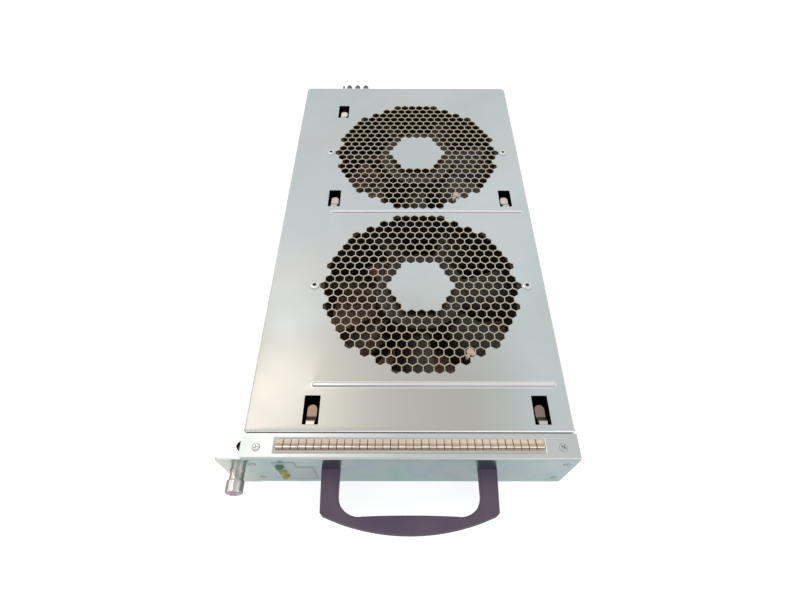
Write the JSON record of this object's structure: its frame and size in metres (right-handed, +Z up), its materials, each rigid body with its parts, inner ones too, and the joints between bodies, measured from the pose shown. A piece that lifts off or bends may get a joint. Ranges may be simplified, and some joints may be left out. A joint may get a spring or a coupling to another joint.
{
  "type": "server fan tray",
  "caption": "Slide-in server fan tray: folded steel box with honeycomb air grilles over axial fans, pull handle, captive thumbscrew, status lamps and rear power connector.",
  "frame": {"origin": "centre of the box's bottom face, which the tray rests on", "axes": "+X to the right seen from the handle, +Y from the front panel to the rear connector, +Z up to the grilles"},
  "size_m": [0.2245, 0.4441, 0.0546],
  "materials": {
    "zinc_sheet": "zinc-plated sheet steel with a thin passivation film, satin",
    "panel_sheet": "clear blue-green passivated sheet steel, glossy",
    "contact_spring": "tinned beryllium-copper strip, bright",
    "plum_plastic": "moulded plastic, fine satin texture, plum",
    "steel_hardware": "zinc-plated steel",
    "nickel_plate": "nickel plate, polished",
    "label_film": "printed film, flat grey, bare",
    "green_lens": "diffused green lens, unlit",
    "amber_lens": "diffused amber lens, unlit",
    "circuit_board": "green circuit board",
    "natural_nylon": "natural nylon",
    "rivet_metal": "bright aluminium",
    "connector_plastic": "dark grey glass-filled plastic",
    "contact_plating": "gold-plated contact",
    "frame_paint": "black painted die casting",
    "lamination_steel": "bare steel",
    "winding_wire": "enamelled copper wire",
    "ferrite": "ferrite ring",
    "impeller_plastic": "black glass-filled plastic"
  },
  "bodies": {
    "chassis": {"top_cover": "zinc_sheet", "base_pan": "zinc_sheet", "front_panel": "panel_sheet", "top_contact_strip": "contact_spring", "side_contact_strip": "contact_spring", "handle": "plum_plastic", "handle_screws": "steel_hardware", "thumbscrew_ferrule": "nickel_plate", "thumbscrew_spring": "steel_hardware", "status_label": "label_film", "ready_lamp": "green_lens", "fault_lamps": "amber_lens", "lamp_board": "circuit_board", "board_spacers": "natural_nylon", "face_rivets": "rivet_metal", "panel_screws": "steel_hardware", "clinch_nuts": "steel_hardware", "fan_rivets": "rivet_metal", "fan_screws": "steel_hardware", "connector_housing": "connector_plastic", "connector_sleeves": "connector_plastic", "connector_sockets": "contact_plating", "connector_screws": "steel_hardware", "front_fan_frame": "frame_paint", "front_fan_bearings": "steel_hardware", "front_fan_board": "circuit_board", "front_fan_stator": "lamination_steel", "front_fan_windings": "winding_wire", "rear_fan_frame": "frame_paint", "rear_fan_bearings": "steel_hardware", "rear_fan_board": "circuit_board", "rear_fan_stator": "lamination_steel", "rear_fan_windings": "winding_wire"},
    "front_impeller": {"front_fan_impeller": "impeller_plastic", "front_fan_rotor_cup": "lamination_steel", "front_fan_magnet": "ferrite", "front_fan_shaft": "steel_hardware", "front_fan_clip": "steel_hardware"},
    "rear_impeller": {"rear_fan_impeller": "impeller_plastic", "rear_fan_rotor_cup": "lamination_steel", "rear_fan_magnet": "ferrite", "rear_fan_shaft": "steel_hardware", "rear_fan_clip": "steel_hardware"},
    "thumbscrew_carrier": {"thumbscrew_clip": "steel_hardware"},
    "thumbscrew": {"thumbscrew_knob": "nickel_plate", "thumbscrew_shank": "nickel_plate"}
  },
  "joints": [
    {"name": "front_fan_spin", "type": "hinge", "parent": "chassis", "child": "front_impeller", "pos_m": [0.00975, -0.0647, 0.0266], "axis": [0, 0, 1], "continuous": true},
    {"name": "rear_fan_spin", "type": "hinge", "parent": "chassis", "child": "rear_impeller", "pos_m": [0.00975, 0.0904, 0.0266], "axis": [0, 0, 1], "continuous": true},
    {"name": "thumbscrew_press", "type": "slide", "parent": "chassis", "child": "thumbscrew_carrier", "axis": [0, 1, 0], "range_m": [0, 0.005], "stiffness_N_per_m": 300, "springref_m": -0.003, "deforming": ["thumbscrew_spring"]},
    {"name": "thumbscrew_turn", "type": "hinge", "parent": "thumbscrew_carrier", "child": "thumbscrew", "pos_m": [-0.11225, -0.2, 0.0266], "axis": [0, 1, 0], "continuous": true}
  ]
}
